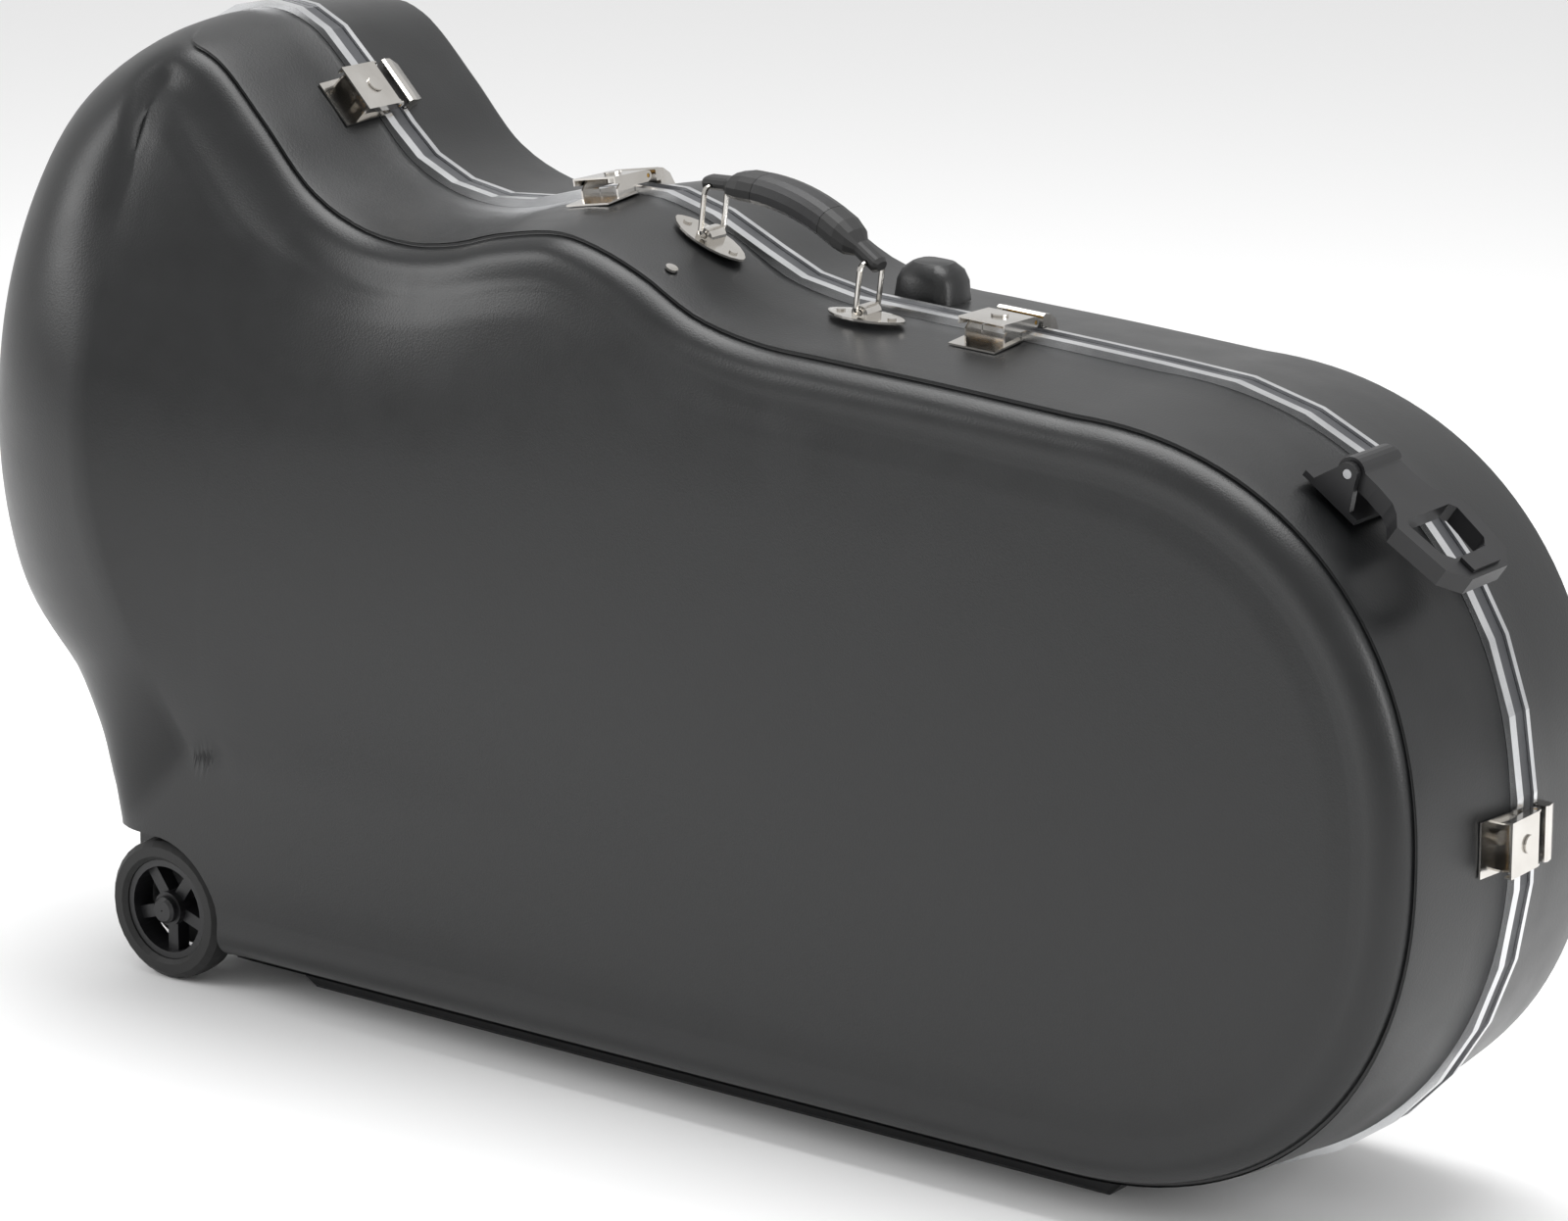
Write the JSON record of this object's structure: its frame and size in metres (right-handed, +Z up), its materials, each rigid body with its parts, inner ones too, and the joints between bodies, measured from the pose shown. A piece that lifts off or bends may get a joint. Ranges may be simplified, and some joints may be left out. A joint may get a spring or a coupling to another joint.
{
  "type": "tuba case",
  "caption": "Hard tuba case of two hinged moulded shells with an edge profile, draw latches, wheels, runners, a carry handle and a tow handle.",
  "frame": {"origin": "middle of the case on the floor", "axes": "+X towards the bow end, +Y towards the rear half, +Z up"},
  "size_m": [1.1544, 0.4316, 0.6719],
  "materials": {
    "shell": "leather grain",
    "profile": "satin",
    "band": "satin",
    "lining": "plush",
    "plastic": "satin",
    "tyre": "matte",
    "rubber": "matte",
    "leather": "grained",
    "nickel": "polished",
    "brass": "polished",
    "steel": "zinc plated"
  },
  "bodies": {
    "front_half": {"front_shell": "shell", "front_profile": "profile", "profile_band": "band", "front_lining": "lining", "runner_front": "plastic", "axle_front": "steel", "handle_plate_left": "nickel", "handle_plate_right": "nickel", "tow_base": "plastic", "tow_pin": "steel", "small_rivet": "nickel", "latch_base_bell": "nickel", "latch_base_hump": "nickel", "latch_base_top": "nickel", "latch_base_bow": "nickel", "latch_pin_bell": "brass", "latch_pin_hump": "brass", "latch_pin_top": "brass", "latch_pin_bow": "brass", "hinge_1_front_leaf": "steel", "hinge_1_pin": "steel", "hinge_2_front_leaf": "steel", "hinge_2_pin": "steel"},
    "rear_half": {"rear_shell": "shell", "rear_profile": "profile", "rear_lining": "lining", "runner_rear": "plastic", "axle_rear": "steel", "latch_strike_bell": "nickel", "latch_strike_hump": "nickel", "latch_strike_top": "nickel", "latch_strike_bow": "nickel", "hinge_1_rear_leaf": "steel", "hinge_2_rear_leaf": "steel"},
    "wheel_front": {"tyre_front": "tyre", "rim_front": "plastic", "hub_cap_front": "plastic"},
    "wheel_rear": {"tyre_rear": "tyre", "rim_rear": "plastic", "hub_cap_rear": "plastic"},
    "bail_left_body": {"bail_left": "nickel"},
    "bail_right_body": {"bail_right": "nickel"},
    "grip": {"handle_grip": "leather", "handle_boot_left": "rubber", "handle_boot_right": "rubber"},
    "tow_handle": {"tow_loop": "plastic", "tow_insert": "plastic"},
    "lever_bell": {"latch_lever_bell": "nickel"},
    "lock_bell": {"lock_cylinder_bell": "nickel"},
    "lever_hump": {"latch_lever_hump": "nickel"},
    "lock_hump": {"lock_cylinder_hump": "nickel"},
    "lever_top": {"latch_lever_top": "nickel"},
    "lock_top": {"lock_cylinder_top": "nickel"},
    "lever_bow": {"latch_lever_bow": "nickel"},
    "lock_bow": {"lock_cylinder_bow": "nickel"}
  },
  "joints": [
    {"name": "case_hinge", "type": "hinge", "parent": "front_half", "child": "rear_half", "pos_m": [0, 0.00585, 0.008], "axis": [-1, 0, 0], "range_deg": [0, 110]},
    {"name": "wheel_front_axle", "type": "hinge", "parent": "front_half", "child": "wheel_front", "pos_m": [-0.43704, -0.1155, 0.05], "axis": [0, 1, 0], "continuous": true},
    {"name": "wheel_rear_axle", "type": "hinge", "parent": "rear_half", "child": "wheel_rear", "pos_m": [-0.43704, 0.1155, 0.05], "axis": [0, 1, 0], "continuous": true},
    {"name": "bail_left_pivot", "type": "hinge", "parent": "front_half", "child": "bail_left_body", "pos_m": [-0.01971, -0.0345, 0.56471], "axis": [0, 1, 0], "range_deg": [-40, 40]},
    {"name": "bail_right_pivot", "type": "hinge", "parent": "front_half", "child": "bail_right_body", "pos_m": [0.10228, -0.0345, 0.53093], "axis": [0, 1, 0], "range_deg": [-40, 40]},
    {"name": "grip_pivot", "type": "hinge", "parent": "bail_left_body", "child": "grip", "pos_m": [-0.01571, -0.0345, 0.59671], "axis": [0, 1, 0], "range_deg": [-40, 40]},
    {"name": "tow_handle_pivot", "type": "hinge", "parent": "front_half", "child": "tow_handle", "pos_m": [0.47722, -0.046, 0.49002], "axis": [0, -1, 0], "range_deg": [0, 110]},
    {"name": "latch_bell_pivot", "type": "hinge", "parent": "front_half", "child": "lever_bell", "pos_m": [-0.31907, -0.0015, 0.62245], "axis": [-0.6975, 0, 0.7166], "range_deg": [0, 95]},
    {"name": "lock_bell_turn", "type": "hinge", "parent": "lever_bell", "child": "lock_bell", "pos_m": [-0.31714, -0.01578, 0.62434], "axis": [0.7166, 0, 0.6975], "range_deg": [0, 90]},
    {"name": "latch_hump_pivot", "type": "hinge", "parent": "front_half", "child": "lever_hump", "pos_m": [-0.11408, -0.0015, 0.58484], "axis": [-0.986, 0, -0.1665], "range_deg": [0, 95]},
    {"name": "lock_hump_turn", "type": "hinge", "parent": "lever_hump", "child": "lock_hump", "pos_m": [-0.11453, -0.01578, 0.58751], "axis": [-0.1665, 0, 0.986], "range_deg": [0, 90]},
    {"name": "latch_top_pivot", "type": "hinge", "parent": "front_half", "child": "lever_top", "pos_m": [0.19048, -0.0015, 0.53242], "axis": [-0.9992, 0, 0.04], "range_deg": [0, 95]},
    {"name": "lock_top_turn", "type": "hinge", "parent": "lever_top", "child": "lock_top", "pos_m": [0.19059, -0.01578, 0.53512], "axis": [0.04, 0, 0.9992], "range_deg": [0, 90]},
    {"name": "latch_bow_pivot", "type": "hinge", "parent": "front_half", "child": "lever_bow", "pos_m": [0.57146, -0.0015, 0.26806], "axis": [-0.0024, 0, 1], "range_deg": [0, 95]},
    {"name": "lock_bow_turn", "type": "hinge", "parent": "lever_bow", "child": "lock_bow", "pos_m": [0.57416, -0.01578, 0.26807], "axis": [1, 0, 0.0024], "range_deg": [0, 90]}
  ],
  "couplings": [
    {"joint": "bail_right_pivot", "follows": "bail_left_pivot", "ratio": 1},
    {"joint": "grip_pivot", "follows": "bail_left_pivot", "ratio": -1}
  ]
}
